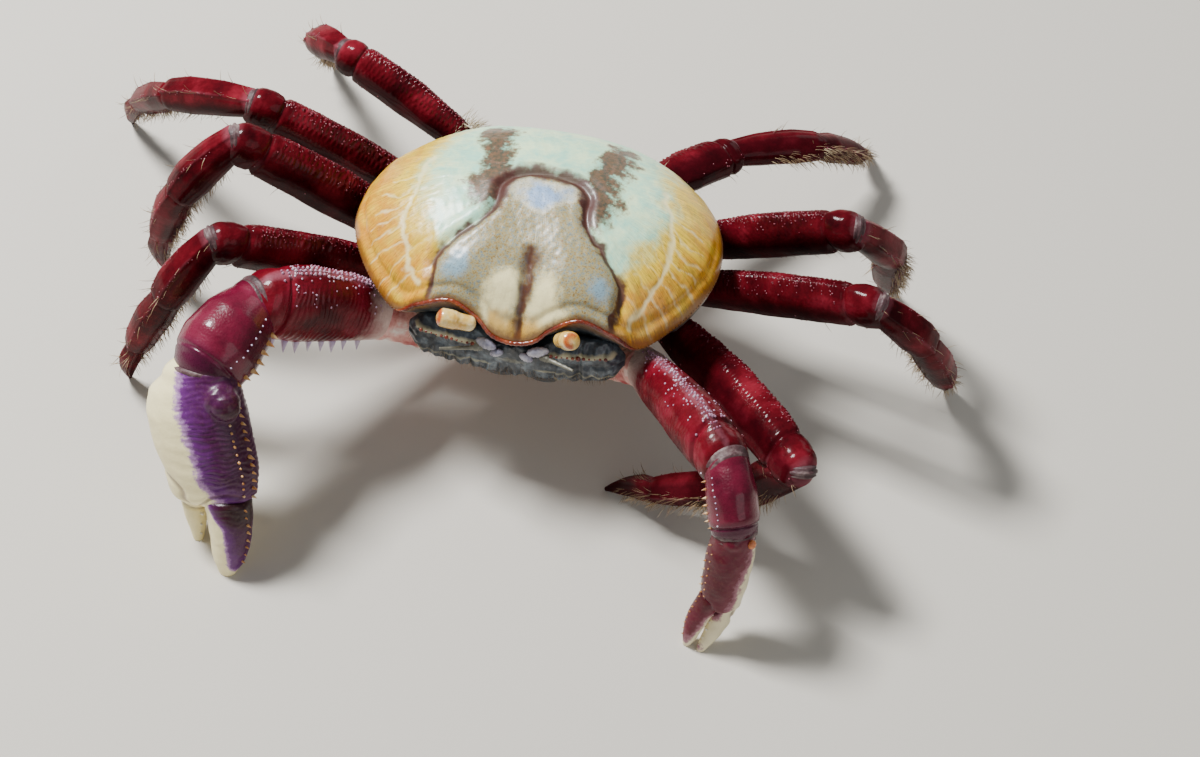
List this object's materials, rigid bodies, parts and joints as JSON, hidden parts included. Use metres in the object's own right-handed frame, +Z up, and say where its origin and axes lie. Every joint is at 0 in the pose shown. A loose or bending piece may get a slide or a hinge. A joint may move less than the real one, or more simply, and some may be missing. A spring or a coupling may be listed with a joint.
{
  "type": "mangrove land crab",
  "caption": "Life-size adult male mangrove land crab, a still model in a raised stance, with one claw larger than the other.",
  "frame": {"origin": "centre of the crab's bounding box, at floor level", "axes": "+X to the crab's left, -Y the way it faces, +Z up"},
  "size_m": [0.205, 0.1592, 0.0615],
  "materials": {
    "carapace_shell": "waxy calcified shell, bluish white with yellow flanks and red-brown grooves",
    "underside_shell": "satin shell, cream to pinkish brown",
    "mouth_shell": "satin shell, blue grey and dark brown with cream edges",
    "eye": "wet gloss, cream yellow stalk with an amber eye",
    "leg_shell": "glossy crimson-maroon shell with grey membranes at the joints",
    "claw_arm_shell": "glossy mauve-red shell with pale tubercles",
    "hand_shell": "porcelain-like shell, cream through lilac to wine purple"
  },
  "bodies": {
    "root": {"carapace": "carapace_shell", "thorax": "underside_shell", "abdomen": "underside_shell", "face": "mouth_shell", "maxilliped_r": "mouth_shell", "maxilliped_l": "mouth_shell", "eye_r": "eye", "eye_l": "eye", "antenna_r": "mouth_shell", "antenna_l": "mouth_shell", "claw_r_coxa": "claw_arm_shell", "claw_r_merus": "claw_arm_shell", "claw_r_carpus": "claw_arm_shell", "claw_r_palm": "hand_shell", "claw_r_dactyl": "hand_shell", "claw_l_coxa": "claw_arm_shell", "claw_l_merus": "claw_arm_shell", "claw_l_carpus": "claw_arm_shell", "claw_l_palm": "hand_shell", "claw_l_dactyl": "hand_shell", "leg_r1_coxa": "leg_shell", "leg_r1_merus": "leg_shell", "leg_r1_carpus": "leg_shell", "leg_r1_propodus": "leg_shell", "leg_r1_dactylus": "leg_shell", "leg_r2_coxa": "leg_shell", "leg_r2_merus": "leg_shell", "leg_r2_carpus": "leg_shell", "leg_r2_propodus": "leg_shell", "leg_r2_dactylus": "leg_shell", "leg_r3_coxa": "leg_shell", "leg_r3_merus": "leg_shell", "leg_r3_carpus": "leg_shell", "leg_r3_propodus": "leg_shell", "leg_r3_dactylus": "leg_shell", "leg_r4_coxa": "leg_shell", "leg_r4_merus": "leg_shell", "leg_r4_carpus": "leg_shell", "leg_r4_propodus": "leg_shell", "leg_r4_dactylus": "leg_shell", "leg_l1_coxa": "leg_shell", "leg_l1_merus": "leg_shell", "leg_l1_carpus": "leg_shell", "leg_l1_propodus": "leg_shell", "leg_l1_dactylus": "leg_shell", "leg_l2_coxa": "leg_shell", "leg_l2_merus": "leg_shell", "leg_l2_carpus": "leg_shell", "leg_l2_propodus": "leg_shell", "leg_l2_dactylus": "leg_shell", "leg_l3_coxa": "leg_shell", "leg_l3_merus": "leg_shell", "leg_l3_carpus": "leg_shell", "leg_l3_propodus": "leg_shell", "leg_l3_dactylus": "leg_shell", "leg_l4_coxa": "leg_shell", "leg_l4_merus": "leg_shell", "leg_l4_carpus": "leg_shell", "leg_l4_propodus": "leg_shell", "leg_l4_dactylus": "leg_shell"}
  },
  "joints": []
}
